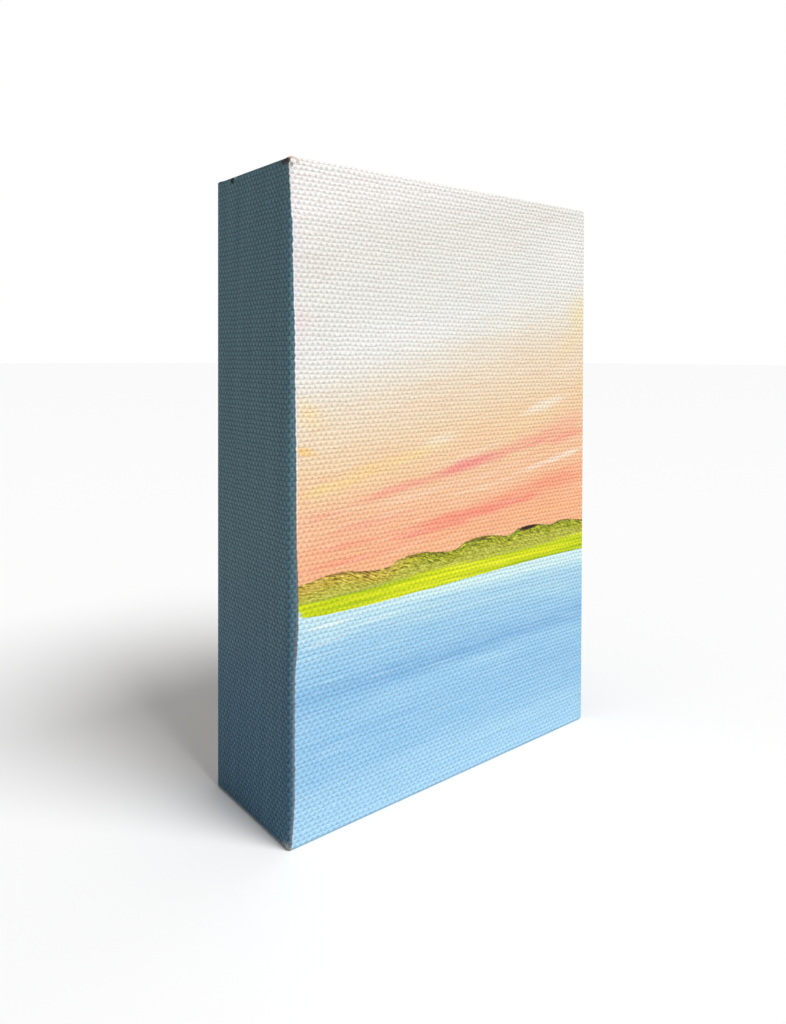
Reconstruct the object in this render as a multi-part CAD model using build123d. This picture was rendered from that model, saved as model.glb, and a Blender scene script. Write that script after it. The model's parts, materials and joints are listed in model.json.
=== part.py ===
from build123d import *
import os

# A small painted canvas on a deep "gallery" stretcher: one sheet of primed cotton duck wrapped round
# four pine bars, stapled behind, with the corners folded in on the top and bottom edges.
#
# Row frame, in millimetres: X runs across the painted face, Y runs from the face to the back, and
# Z is up. The origin is the middle of the footprint that the canvas stands on.
#
# The bars meet in mitred bridle joints that can open. Seen from the face, they run clockwise round
# the frame, and all four have the same ends: at its leading end a bar carries a tongue in the front
# layer of the joint and a slot in the back layer, and at its trailing end the other way round.
# Beside each tongue the neighbour's slot has room for a wedge, the key, that pushes the bar out.

os.makedirs("parts", exist_ok=True)

# ---- Driving sizes ----
face_width = 101.6          # 4 in
face_height = 152.4         # 6 in
edge_depth = 34.925         # 1 3/8 in, from the face to the back of the hem
cloth = 0.5                 # primed duck, with its ground and paint
edge_radius = 1.5           # outside of the cloth where it turns an edge

bar_width = 19.0            # across the face of a bar
bead_width = 4.0            # raised outer lip that carries the cloth
bead_drop = 1.5             # from the lip down to the bar's sloping face
slope_drop = 1.6            # further fall of that face to the inner edge
back_chamfer = 0.6

keying = 0.6                # how far each bar can come in when its two keys are drawn back
joint_layer = 5.0           # thickness of each of the two tongue layers
back_cheek = 7.0            # wood behind the joint layers
joint_clearance = 0.1       # between a tongue and its slot, each side
mitre_gap = 1.0             # open mitre of a frame that has been keyed out
tongue_inset = 0.6          # the tongue's end, short of the neighbour's outer face

key_length = 26.0
key_tip_width = 6.0
key_taper = 1 / 8           # widening for each millimetre towards the head
key_inset = 3.0             # from the neighbour's outer face to the key's tip
key_thickness = 4.6
key_play = 0.03             # between the key and the edge that it pushes
wedge_clearance = 0.15      # between the key's slanting edge and the slot

fold_layers = 2             # layers of cloth tucked under at a corner
fold_play = 0.02
hem_width = 14.0
lap_clearance = 0.05        # between a hem and the hem that crosses over it
staple_crown = 10.0
staple_leg = 6.0
staple_wire = 0.5           # thickness of the flattened wire
staple_wire_width = 1.2
staple_from_edge = 8.0      # outer edge of the cloth to the middle of a staple
short_bar_staples = (-29.0, 0.0, 29.0)
long_bar_staples = (-48.0, -16.0, 16.0, 48.0)

# ---- Places that follow from them ----
wood_depth = edge_depth - 2 * cloth
overall_depth = edge_depth + cloth + lap_clearance
y_face = -overall_depth / 2
y_wood_front = y_face + cloth
y_wood_back = y_wood_front + wood_depth
y_hem_back = y_wood_back + cloth
y_back_layer = (y_wood_back - back_cheek - joint_layer, y_wood_back - back_cheek)
y_front_layer = (y_back_layer[0] - joint_layer, y_back_layer[0])

fold_room = fold_layers * cloth
half_frame_width = face_width / 2 - cloth
half_frame_height = face_height / 2 - cloth - fold_room
frame_middle = face_height / 2
mitre_setback = mitre_gap / 2**0.5   # along a bar, from its corner to its own mitre


def prism(points, y_from, y_to):
    """The outline, given as (x, z) points, made solid between two depths."""
    outline = Polyline(*[(x, y_from, z) for x, z in points], close=True)
    return extrude(make_face(outline), amount=y_to - y_from, dir=(0, 1, 0))


def shifted(y_range, inset):
    return y_range[0] + inset, y_range[1] - inset


def bar_section():
    """Section of a bar, with its outer face at z 0 and its inner edge at -bar_width."""
    bead_foot = y_wood_front + bead_drop
    inner_front = bead_foot + slope_drop
    points = (
        (y_wood_front, 0),
        (y_wood_front, -bead_width),
        (bead_foot, -bead_width - bead_drop),
        (inner_front, -bar_width),
        (y_wood_back - back_chamfer, -bar_width),
        (y_wood_back, -bar_width + back_chamfer),
        (y_wood_back, -back_chamfer),
        (y_wood_back - back_chamfer, 0),
    )
    return make_face(Polyline(*[(0, y, z) for y, z in points], close=True))


def key_width(from_outer_face):
    """Width of a seated key, this far in from the outer face of the bar whose slot holds it."""
    return key_tip_width + (from_outer_face - key_inset) * key_taper


def bar(half_length):
    """A stretcher bar along X, outer face at z 0: leading end at +X, trailing end at -X."""
    blank = extrude(bar_section(), amount=half_length, both=True)
    outer_front = blank.edges().filter_by(Axis.X).group_by(Axis.Z)[-1].sort_by(Axis.Y)[0]
    blank = fillet(outer_front, edge_radius)
    over = 5.0
    for end, own_layer, slot_layer in (
        (1, y_front_layer, y_back_layer),
        (-1, y_back_layer, y_front_layer),
    ):
        mitre_outer = half_length - mitre_setback
        mitre = [
            (end * (mitre_outer + over), over),
            (end * (mitre_outer - bar_width - over), -bar_width - over),
            (end * (half_length + over), -bar_width - over),
            (end * (half_length + over), over),
        ]
        slot_inner = half_length - bar_width - key_width(bar_width) - wedge_clearance
        slot_outer = half_length - bar_width - key_width(0) - wedge_clearance
        slot = [
            (end * slot_outer, 0),
            (end * slot_inner, -bar_width),
            (end * slot_inner, -bar_width - over),
            (end * (half_length + over), -bar_width - over),
            (end * (half_length + over), over),
            (end * slot_outer, over),
        ]
        tongue = [
            (end * (half_length - 2 * bar_width), 0),
            (end * (half_length - 2 * bar_width), -bar_width),
            (end * (half_length - tongue_inset), -bar_width),
            (end * (half_length - tongue_inset), 0),
        ]
        blank -= prism(mitre, y_wood_front - over, y_wood_back + over)
        blank -= prism(slot, *slot_layer)
        blank += prism(tongue, *shifted(own_layer, joint_clearance))
    return blank


def key(half_length, end):
    """The wedge that bears on a bar's inner edge at one end, seated in the neighbour's slot."""
    layer = y_front_layer if end > 0 else y_back_layer
    edge = -bar_width - key_play
    tip = half_length - key_inset
    head = tip - key_length
    head_width = key_tip_width + key_length * key_taper
    nose = 1.0
    brow = 1.5
    points = [
        (end * tip, edge),
        (end * tip, edge - key_tip_width + nose),
        (end * (tip - nose), edge - key_tip_width - nose * key_taper),
        (end * (head + brow), edge - head_width + brow * key_taper),
        (end * head, edge - head_width + brow),
        (end * head, edge),
    ]
    play = (joint_layer - key_thickness) / 2
    return prism(points, *shifted(layer, play))


def staples(places, from_outer_face):
    """A row of staples driven through a hem, with crowns along the bar."""
    back = y_hem_back + staple_wire
    row = []
    for x in places:
        outer = Pos(x, back - (staple_leg + staple_wire) / 2) * Rectangle(
            staple_crown, staple_leg + staple_wire
        )
        inner = Pos(x, back - staple_wire - staple_leg / 2) * Rectangle(
            staple_crown - 2 * staple_wire, staple_leg
        )
        wire = extrude(outer - inner, amount=staple_wire_width / 2, both=True)
        bends = wire.edges().filter_by(Axis.Z).group_by(Axis.Y)[-1]
        row.append(Pos(0, 0, -from_outer_face) * fillet(bends, staple_wire * 0.9))
    return row


def long_hem(half_length):
    """A side's hem, flat on the wood for its whole length, crossed by the other two at its ends."""
    reach = half_length - edge_radius / 2
    outer = [(-reach, cloth), (reach, cloth), (reach, cloth - hem_width), (-reach, cloth - hem_width)]
    return prism(outer, y_wood_back, y_hem_back)


def short_hem(half_length):
    """The top or bottom hem: on the wood in the middle, and up over the side hems at its ends."""
    riser = half_length - hem_width - keying - lap_clearance
    y_over = y_hem_back + lap_clearance
    top = cloth + fold_room
    bottom = top - hem_width

    def strip(x_from, x_to, y_from, y_to):
        corners = [(x_from, top), (x_to, top), (x_to, bottom), (x_from, bottom)]
        return prism(corners, y_from, y_to)

    hem = strip(-riser, riser, y_wood_back, y_hem_back)
    for end in (1, -1):
        hem += strip(end * (riser - cloth), end * riser, y_wood_back, y_over + cloth)
        hem += strip(end * (riser - cloth), end * half_length, y_over, y_over + cloth)
    return hem


def canvas():
    """The cloth on the face and the four sides, with its tucked corners inside the top and bottom."""

    def rounded_box(half_x, z_from, z_to, y_from, radius):
        size = (2 * half_x, y_wood_back + 10 - y_from, z_to - z_from)
        centre = Pos(0, (y_wood_back + 10 + y_from) / 2, (z_from + z_to) / 2)
        block = centre * Box(*size)
        turned = block.edges().group_by(Axis.Y)[0] + block.edges().filter_by(Axis.Y)
        return fillet(turned, radius)

    shell = rounded_box(face_width / 2, 0, face_height, y_face, edge_radius)
    inside = rounded_box(
        half_frame_width, cloth, face_height - cloth, y_wood_front, edge_radius - cloth
    )
    shell -= inside
    shell -= Pos(0, y_wood_back + 50, frame_middle) * Box(300, 100, 300)

    for side in (-1, 1):
        corner = side * half_frame_width
        for z in (cloth, face_height - cloth - fold_room + fold_play):
            outline = Polyline(
                (corner, y_wood_front, z),
                (corner, y_wood_back, z),
                (corner - side * wood_depth, y_wood_back, z),
                close=True,
            )
            tuck = extrude(make_face(outline), amount=fold_room - fold_play, dir=(0, 0, 1))
            shell += tuck & shell_envelope()
    return shell


def shell_envelope():
    """The rounded outside of the wrapped canvas, to which the tucked corners are trimmed."""
    block = Pos(0, (y_face + y_wood_back) / 2, frame_middle) * Box(
        face_width - cloth, y_wood_back - y_face, face_height - cloth
    )
    turned = block.edges().group_by(Axis.Y)[0] + block.edges().filter_by(Axis.Y)
    return fillet(turned, edge_radius - cloth / 2)


def write(name, shape):
    export_step(shape, f"parts/{name}.step")


# name, quarter turns clockwise, half length to the outer corners, half length of its cloth,
# distance from the middle of the frame to its outer face
sides = (
    ("top", 0, half_frame_width, face_width / 2, half_frame_height),
    ("right", 1, half_frame_height, face_height / 2, half_frame_width),
    ("bottom", 2, half_frame_width, face_width / 2, half_frame_height),
    ("left", 3, half_frame_height, face_height / 2, half_frame_width),
)
next_side = {"top": "right", "right": "bottom", "bottom": "left", "left": "top"}
last_side = {after: before for before, after in next_side.items()}

write("canvas", canvas())
for name, quarter_turns, half_length, half_cloth, reach in sides:
    place = Pos(0, 0, frame_middle) * Rot(0, 90 * quarter_turns, 0) * Pos(0, 0, reach)
    is_short = name in ("top", "bottom")
    hem = short_hem(half_cloth) if is_short else long_hem(half_cloth)
    hem_edge = cloth + fold_room if is_short else cloth
    row = staples(
        short_bar_staples if is_short else long_bar_staples, staple_from_edge - hem_edge
    )
    write(f"{name}_bar", place * (bar(half_length) - row))
    write(f"{name}_hem", place * (hem - row))
    write(f"{name}_staples", Compound(children=[place * staple for staple in row]))
    write(f"{name}_key_{next_side[name]}", place * key(half_length, 1))
    write(f"{name}_key_{last_side[name]}", place * key(half_length, -1))
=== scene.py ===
import json
import math

import bpy
import numpy as np
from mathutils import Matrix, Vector

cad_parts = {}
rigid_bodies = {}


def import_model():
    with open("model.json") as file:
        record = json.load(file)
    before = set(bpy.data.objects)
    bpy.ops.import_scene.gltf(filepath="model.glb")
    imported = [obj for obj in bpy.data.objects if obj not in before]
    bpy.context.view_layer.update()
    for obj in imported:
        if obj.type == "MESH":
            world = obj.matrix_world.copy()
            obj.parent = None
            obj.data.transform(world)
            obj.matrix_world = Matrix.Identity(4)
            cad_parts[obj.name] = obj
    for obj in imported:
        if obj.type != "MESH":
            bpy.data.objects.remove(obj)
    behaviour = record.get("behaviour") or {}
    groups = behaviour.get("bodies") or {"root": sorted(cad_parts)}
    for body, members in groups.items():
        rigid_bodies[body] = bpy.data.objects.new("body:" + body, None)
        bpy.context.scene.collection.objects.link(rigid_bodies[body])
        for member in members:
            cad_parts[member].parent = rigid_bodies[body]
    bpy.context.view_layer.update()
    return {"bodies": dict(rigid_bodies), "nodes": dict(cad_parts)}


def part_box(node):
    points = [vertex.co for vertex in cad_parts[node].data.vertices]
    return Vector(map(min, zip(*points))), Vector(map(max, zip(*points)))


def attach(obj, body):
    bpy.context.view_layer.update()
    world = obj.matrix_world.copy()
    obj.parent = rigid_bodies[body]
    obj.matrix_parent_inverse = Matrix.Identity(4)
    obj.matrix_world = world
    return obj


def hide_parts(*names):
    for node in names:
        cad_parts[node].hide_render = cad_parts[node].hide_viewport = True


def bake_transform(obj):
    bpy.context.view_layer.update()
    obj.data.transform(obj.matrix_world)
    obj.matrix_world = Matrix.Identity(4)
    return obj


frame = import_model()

# A small painted canvas, wrapped round a deep stretcher. The script works in metres. The painting
# alone is laid out in millimetres, from the bottom left corner of the face.

scene = bpy.context.scene
kept = set(frame["nodes"].values()) | set(frame["bodies"].values())
for leftover in [o for o in bpy.data.objects if o not in kept]:
    bpy.data.objects.remove(leftover)

mm = 0.001
canvasLow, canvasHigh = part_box("canvas")
sideHemLow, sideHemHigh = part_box("left_hem")
topHemLow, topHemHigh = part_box("top_hem")
faceWidth = canvasHigh.x - canvasLow.x
faceHeight = canvasHigh.z - canvasLow.z
faceDepth = canvasLow.y                      # y of the painted face
woodDepth = canvasHigh.y                     # y of the backs of the bars
hemDepth = sideHemHigh.y                     # y of a hem that lies on the wood
lapLift = topHemHigh.y - hemDepth            # a hem that crosses another one is higher by this
hemWidth = sideHemHigh.x - sideHemLow.x
middle = faceHeight / 2

cloth = {
    "thickness": 0.42 * mm,
    "edgeRadius": 1.0 * mm,       # where the cloth turns from the face
    "backRadius": 0.7 * mm,       # where it turns onto the back
    "warpPitch": 0.74,            # mm between upright yarns
    "weftPitch": 1.064,           # mm between level yarns
    "weaveRelief": 0.31 * mm,
}


def clothMesh(name, place, outward, sheetPlace, materials, thickness):
    # A sheet with a wall: the outer grid, the same grid moved inwards by the thickness, which may
    # differ from point to point, and a rim round both. place and outward hold rows x columns x 3
    # numbers, and sheetPlace says where each point was on the flat sheet. The inner side and the rim
    # take the second material.
    rows, columns = place.shape[:2]
    number = np.arange(rows * columns).reshape(rows, columns)
    quads = np.stack((number[:-1, :-1], number[:-1, 1:], number[1:, 1:], number[1:, :-1]), -1)
    quads = quads.reshape(-1, 4)
    flat = place.reshape(-1, 3)
    normal = outward.reshape(-1, 3)
    normal = normal / np.linalg.norm(normal, axis=1, keepdims=True)
    across = flat[quads[:, 1]] - flat[quads[:, 0]]
    down = flat[quads[:, 3]] - flat[quads[:, 0]]
    turn = -1 if (np.cross(across, down) * normal[quads[:, 0]]).sum() < 0 else 1
    border = np.concatenate([number[0, :-1], number[:-1, -1], number[-1, :0:-1], number[:0:-1, 0]])
    after = np.roll(border, -1)
    under = len(flat)
    rim = np.stack((after, border, border + under, after + under), -1)
    faces = np.concatenate([quads[:, ::turn], (quads + under)[:, ::-turn], rim[:, ::turn]])
    mesh = bpy.data.meshes.new(name)
    mesh.vertices.add(2 * len(flat))
    inner = flat - np.reshape(thickness, (-1, 1)) * normal
    mesh.vertices.foreach_set("co", np.concatenate([flat, inner]).ravel())
    mesh.loops.add(faces.size)
    mesh.loops.foreach_set("vertex_index", faces.ravel())
    mesh.polygons.add(len(faces))
    mesh.polygons.foreach_set("loop_start", np.arange(0, faces.size, 4))
    second = np.arange(len(faces)) >= len(quads)
    mesh.polygons.foreach_set("material_index", second.astype(int))
    mesh.update(calc_edges=True)
    layer = mesh.uv_layers.new(name="sheetPlace")
    layer.data.foreach_set("uv", sheetPlace.reshape(-1, 2)[faces.ravel() % under].ravel())
    mesh.shade_smooth()
    ends = np.empty(2 * len(mesh.edges), int)
    mesh.edges.foreach_get("vertices", ends)
    ends = ends.reshape(-1, 2)
    row, column = ends % under // columns, ends % under % columns
    onRow = (row[:, 0] == row[:, 1]) & np.isin(row[:, 0], (0, rows - 1))
    onColumn = (column[:, 0] == column[:, 1]) & np.isin(column[:, 0], (0, columns - 1))
    mesh.edges.foreach_set("use_edge_sharp", onRow | onColumn)
    mesh.validate()
    for material in materials:
        mesh.materials.append(material)
    piece = bpy.data.objects.new(name, mesh)
    scene.collection.objects.link(piece)
    return piece


def smooth(value, low, high):
    # 0 before low, 1 after high, and 3t^2 - 2t^3 between them
    t = np.clip((value - low) / (high - low), 0, 1)
    return t * t * (3 - 2 * t)


def wander(value, seed, waves=6):
    # an uneven line about 1 high: sines at rising rates, each lower than the last
    random = np.random.default_rng(seed)
    total = 0 * value
    for k in range(1, waves + 1):
        total = total + np.sin(value * k * random.uniform(0.7, 1.3) + random.uniform(0, 6.3)) / k
    return total / 1.6


def put(tree, kind, **settings):
    node = tree.nodes.new("ShaderNode" + kind)
    for key, value in settings.items():
        setattr(node, key, value)
    return node


def feed(tree, socket, value):
    if isinstance(value, bpy.types.NodeSocket):
        tree.links.new(value, socket)
    else:
        socket.default_value = value


def maths(tree, operation, *values, clamp=False):
    node = put(tree, "Math", operation=operation, use_clamp=clamp)
    for socket, value in zip(node.inputs, values):
        feed(tree, socket, value)
    return node.outputs[0]


def times(tree, one, other, **how):
    return maths(tree, "MULTIPLY", one, other, **how)


def minus(tree, one, other):
    return maths(tree, "SUBTRACT", one, other)


def timesPlus(tree, value, factor, added):
    # value * factor + added
    return maths(tree, "MULTIPLY_ADD", value, factor, added)


def vectors(tree, operation, *values):
    node = put(tree, "VectorMath", operation=operation)
    for socket, value in zip(node.inputs, values):
        feed(tree, socket, value)
    return node.outputs[1] if operation in ("LENGTH", "DOT_PRODUCT") else node.outputs[0]


def parts(tree, vector):
    node = put(tree, "SeparateXYZ")
    feed(tree, node.inputs[0], vector)
    return node.outputs


def joined(tree, x=0.0, y=0.0, z=0.0):
    node = put(tree, "CombineXYZ")
    for socket, value in zip(node.inputs, (x, y, z)):
        feed(tree, socket, value)
    return node.outputs[0]


def ease(tree, value, low, high, start=0.0, end=1.0):
    node = put(tree, "MapRange", interpolation_type="SMOOTHSTEP")
    for socket, number in zip(node.inputs, (value, low, high, start, end)):
        feed(tree, socket, number)
    return node.outputs[0]


def noise(tree, place, scale=(1, 1, 1), shift=(0, 0, 0), detail=2.0, rough=0.5):
    # scale is in cycles for each unit of place
    at = put(tree, "Mapping", vector_type="POINT")
    feed(tree, at.inputs["Vector"], place)
    at.inputs["Scale"].default_value = scale
    at.inputs["Location"].default_value = shift
    node = put(tree, "TexNoise", noise_dimensions="3D")
    feed(tree, node.inputs["Vector"], at.outputs[0])
    node.inputs["Scale"].default_value = 1.0
    node.inputs["Detail"].default_value = detail
    node.inputs["Roughness"].default_value = rough
    return node.outputs[0]


def colour(red, green, blue):
    # screen values from 0 to 255, made linear
    values = [c / 255 for c in (red, green, blue)]
    return tuple(c / 12.92 if c <= 0.04045 else ((c + 0.055) / 1.055) ** 2.4 for c in values) + (1.0,)


def blendColours(tree, share, under, over, how="MIX"):
    # under and over are sockets, or screen colours from 0 to 255
    node = put(tree, "Mix", data_type="RGBA", blend_type=how, clamp_factor=True)
    for name, value in (("Factor_Float", share), ("A_Color", under), ("B_Color", over)):
        socket = next(s for s in node.inputs if s.identifier == name)
        feed(tree, socket, colour(*value) if isinstance(value, tuple) else value)
    return next(s for s in node.outputs if s.identifier == "Result_Color")


def ramp(tree, value, stops, low=0.0, high=1.0):
    # stops are (value, colour) pairs, in the value's own units
    share = put(tree, "MapRange")
    for socket, number in zip(share.inputs, (value, low, high, 0.0, 1.0)):
        feed(tree, socket, number)
    node = put(tree, "ValToRGB")
    feed(tree, node.inputs[0], share.outputs[0])
    marks = node.color_ramp.elements
    marks.remove(marks[1])
    marks[0].position = (stops[0][0] - low) / (high - low)
    marks[0].color = colour(*stops[0][1])
    for at, tone in stops[1:]:
        marks.new((at - low) / (high - low)).color = colour(*tone)
    return node.outputs[0]


def curve(tree, value, points, low, high, bottom, top):
    # a smooth line through (value, height) points
    share = put(tree, "MapRange")
    for socket, number in zip(share.inputs, (value, low, high, 0.0, 1.0)):
        feed(tree, socket, number)
    node = put(tree, "FloatCurve")
    feed(tree, node.inputs["Value"], share.outputs[0])
    line = node.mapping.curves[0]
    for k, (at, height) in enumerate(points):
        spot = ((at - low) / (high - low), (height - bottom) / (top - bottom))
        if k < 2:
            line.points[k].location = spot
        else:
            line.points.new(*spot)
    node.mapping.update()
    return timesPlus(tree, node.outputs[0], top - bottom, bottom)


def newGroup(name, inputs, outputs):
    tree = bpy.data.node_groups.new(name, "ShaderNodeTree")
    for label, kind, value in inputs:
        socket = tree.interface.new_socket(label, in_out="INPUT", socket_type="NodeSocket" + kind)
        if value is not None:
            socket.default_value = value
    for label, kind in outputs:
        tree.interface.new_socket(label, in_out="OUTPUT", socket_type="NodeSocket" + kind)
    given = tree.nodes.new("NodeGroupInput")
    result = tree.nodes.new("NodeGroupOutput")
    return tree, given.outputs, result.inputs


def useGroup(tree, group, **values):
    # an input's name is written without its spaces, as in HalfSize
    node = put(tree, "Group", node_tree=group)
    for key, value in values.items():
        socket = next(s for s in node.inputs if s.name.replace(" ", "") == key)
        feed(tree, socket, value)
    return node.outputs


def newMaterial(name, roughness=0.6, specular=0.5):
    material = bpy.data.materials.new(name)
    material.use_nodes = True
    tree = material.node_tree
    shader = tree.nodes["Principled BSDF"]
    shader.inputs["Roughness"].default_value = roughness
    shader.inputs["Specular IOR Level"].default_value = specular
    return material, tree, shader


def bumpFrom(tree, shader, height):
    # height is in metres
    node = put(tree, "Bump")
    node.inputs["Strength"].default_value = 1.0
    node.inputs["Distance"].default_value = 1.0
    feed(tree, node.inputs["Height"], height)
    tree.links.new(node.outputs[0], shader.inputs["Normal"])


def makePlainWeave():
    # Yarn i stands at u = i * warp pitch and yarn j lies at v = j * weft pitch. Each is a half round,
    # sqrt(1 - f^2) across its width, and rises and dips as cos(pi u / pitch + pi j) along its length,
    # so that over and under change places at every crossing. The higher of the two shows. A weft
    # yarn also swings sideways by Swing as it rises and dips. Fill, from 0 to 1, is how far paint
    # closes the gaps: it widens each yarn, flattens its top and fills the trough where it dips.
    tree, given, result = newGroup(
        "plainWeave",
        [("Place", "Vector", None), ("Warp Pitch", "Float", 0.74), ("Weft Pitch", "Float", 1.064),
         ("Warp Share", "Float", 0.8), ("Swing", "Float", 0.1), ("Wander", "Float", 0.12),
         ("Fill", "Float", 0.0)],
        [("Height", "Float"), ("Valley", "Float"), ("Yarn Tone", "Float")],
    )
    place = parts(tree, given["Place"])
    drift = noise(tree, given["Place"], (0.35, 0.8, 1), detail=2.0)
    lift = noise(tree, given["Place"], (0.22, 0.55, 1), (17, 5, 0), detail=2.0)
    u = timesPlus(tree, minus(tree, drift, 0.5), given["Wander"], place[0])
    v = timesPlus(tree, minus(tree, lift, 0.5), given["Wander"], place[1])
    acrossWarp = maths(tree, "DIVIDE", u, given["Warp Pitch"])
    acrossWeft = maths(tree, "DIVIDE", v, given["Weft Pitch"])
    nearRow = maths(tree, "ROUND", acrossWeft)
    sideways = maths(tree, "COSINE", times(tree, maths(tree, "ADD", acrossWarp, nearRow), math.pi))
    acrossWeft = timesPlus(tree, sideways, given["Swing"], acrossWeft)
    warpNumber = maths(tree, "ROUND", acrossWarp)
    weftNumber = maths(tree, "ROUND", acrossWeft)

    narrow = timesPlus(tree, given["Fill"], -0.12, 1.92)
    crown = timesPlus(tree, given["Fill"], 0.6, 1.0)
    trough = timesPlus(tree, given["Fill"], 0.3, 0.16)

    def halfRound(position, number):
        off = times(tree, minus(tree, position, number), narrow)
        square = timesPlus(tree, off, times(tree, off, -1.0), 1.0)
        return maths(tree, "SQRT", maths(tree, "MAXIMUM", square, 0.0))

    def overUnder(along, number):
        turn = maths(tree, "COSINE", times(tree, maths(tree, "ADD", along, number), math.pi))
        return times(tree, timesPlus(tree, turn, 0.5, 0.5), crown, clamp=True)

    rise = times(tree, overUnder(acrossWarp, weftNumber), minus(tree, 1.0, trough))
    weft = times(tree, halfRound(acrossWeft, weftNumber), maths(tree, "ADD", rise, trough))
    warpRise = minus(tree, 1.0, overUnder(acrossWeft, warpNumber))
    warp = times(tree, halfRound(acrossWarp, warpNumber), warpRise)
    warp = times(tree, warp, given["Warp Share"])
    height = maths(tree, "MINIMUM", maths(tree, "SMOOTH_MAX", weft, warp, 0.25), 1.0)
    feed(tree, result["Height"], height)
    feed(tree, result["Valley"], ease(tree, height, 0.62, 0.16))
    slub = noise(tree, joined(tree, times(tree, u, 0.08), weftNumber), (1, 7.3, 1), detail=1.0)
    feed(tree, result["Yarn Tone"], slub)
    return tree


def turned(tree, vector, angle):
    node = put(tree, "VectorRotate", rotation_type="Z_AXIS")
    feed(tree, node.inputs["Vector"], vector)
    feed(tree, node.inputs["Angle"], angle)
    return node.outputs[0]


def makeBrushStroke():
    # 1 inside an ellipse, length and width apart, that is turned by its slope. Its rim is pushed in
    # and out by Broken, which is 0 on average.
    tree, given, result = newGroup(
        "brushStroke",
        [("Place", "Vector", None), ("Centre", "Vector", (0, 0, 0)),
         ("Half Size", "Vector", (10, 2, 1)), ("Slope", "Float", 0.0),
         ("Softness", "Float", 0.8), ("Broken", "Float", 0.0)],
        [("Mask", "Float")],
    )
    off = vectors(tree, "SUBTRACT", given["Place"], given["Centre"])
    back = times(tree, given["Slope"], -1.0)
    reach = vectors(tree, "DIVIDE", turned(tree, off, back), given["Half Size"])
    reach = vectors(tree, "LENGTH", reach)
    inside = maths(tree, "ADD", minus(tree, 1.0, reach), given["Broken"])
    feed(tree, result["Mask"], ease(tree, maths(tree, "DIVIDE", inside, given["Softness"]), 0.0, 1.0))
    return tree


def makeBristleMarks():
    # What the brush leaves, turned by Slope: fine ridges, broader streaks of colour, and Broken, by
    # which a stroke's rim breaks up. All are noise that is long one way and narrow across it.
    tree, given, result = newGroup(
        "bristleMarks",
        [("Place", "Vector", None), ("Slope", "Float", 0.0), ("Coarseness", "Float", 1.0)],
        [("Height", "Float"), ("Drift", "Float"), ("Broken", "Float")],
    )
    local = turned(tree, given["Place"], times(tree, given["Slope"], -1.0))
    scaled = put(tree, "VectorMath", operation="SCALE")
    feed(tree, scaled.inputs[0], local)
    feed(tree, scaled.inputs["Scale"], given["Coarseness"])
    fine = noise(tree, scaled.outputs[0], (0.06, 2.6, 1), detail=3.0, rough=0.65)
    broad = noise(tree, scaled.outputs[0], (0.02, 0.45, 1), (9, 2, 0), detail=2.0, rough=0.55)
    feed(tree, result["Height"], fine)
    feed(tree, result["Drift"], timesPlus(tree, fine, 0.35, times(tree, broad, 0.65)))
    bristles = noise(tree, scaled.outputs[0], (0.09, 2.2, 1), (4, 4, 0), detail=3.0, rough=0.6)
    patches = noise(tree, scaled.outputs[0], (0.16, 0.5, 1), (3, 8, 0), detail=2.0)
    feed(tree, result["Broken"], minus(tree, maths(tree, "ADD", bristles, patches), 1.0))
    return tree


def makeWoodGrain():
    # Growth rings round a pith that lies beside the wood: sawtooth of distance / spacing, with the
    # pith's line wandering along the length. Fibres are noise drawn out along the length.
    tree, given, result = newGroup(
        "woodGrain",
        [("Place", "Vector", None), ("Pith", "Vector", (0, 0, 0)), ("Ring Spacing", "Float", 2.2),
         ("Wander", "Float", 2.0)],
        [("Ring", "Float"), ("Fibre", "Float"), ("Patch", "Float")],
    )
    off = vectors(tree, "SUBTRACT", given["Place"], given["Pith"])
    off = vectors(tree, "MULTIPLY", off, (0, 1, 1))
    bend = noise(tree, given["Place"], (0.018, 0.05, 0.05), detail=2.0)
    fray = noise(tree, given["Place"], (0.05, 0.9, 0.9), (4, 4, 4), detail=2.0)
    reach = vectors(tree, "LENGTH", off)
    reach = timesPlus(tree, minus(tree, bend, 0.5),
                  times(tree, given["Wander"], 4.0), reach)
    reach = timesPlus(tree, minus(tree, fray, 0.5), 0.5, reach)
    saw = maths(tree, "FRACT", maths(tree, "DIVIDE", reach, given["Ring Spacing"]))
    late = times(tree, ease(tree, saw, 0.25, 0.9), ease(tree, saw, 1.0, 0.93))
    fibre = noise(tree, given["Place"], (0.09, 5.0, 5.0), (1, 2, 3), detail=4.0, rough=0.7)
    feed(tree, result["Ring"], late)
    feed(tree, result["Fibre"], fibre)
    feed(tree, result["Patch"], noise(tree, given["Place"], (0.02, 0.12, 0.12), (7, 7, 7), detail=2.0))
    return tree


plainWeave = makePlainWeave()
brushStroke = makeBrushStroke()
bristleMarks = makeBristleMarks()
woodGrain = makeWoodGrain()
print("groups made")

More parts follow.
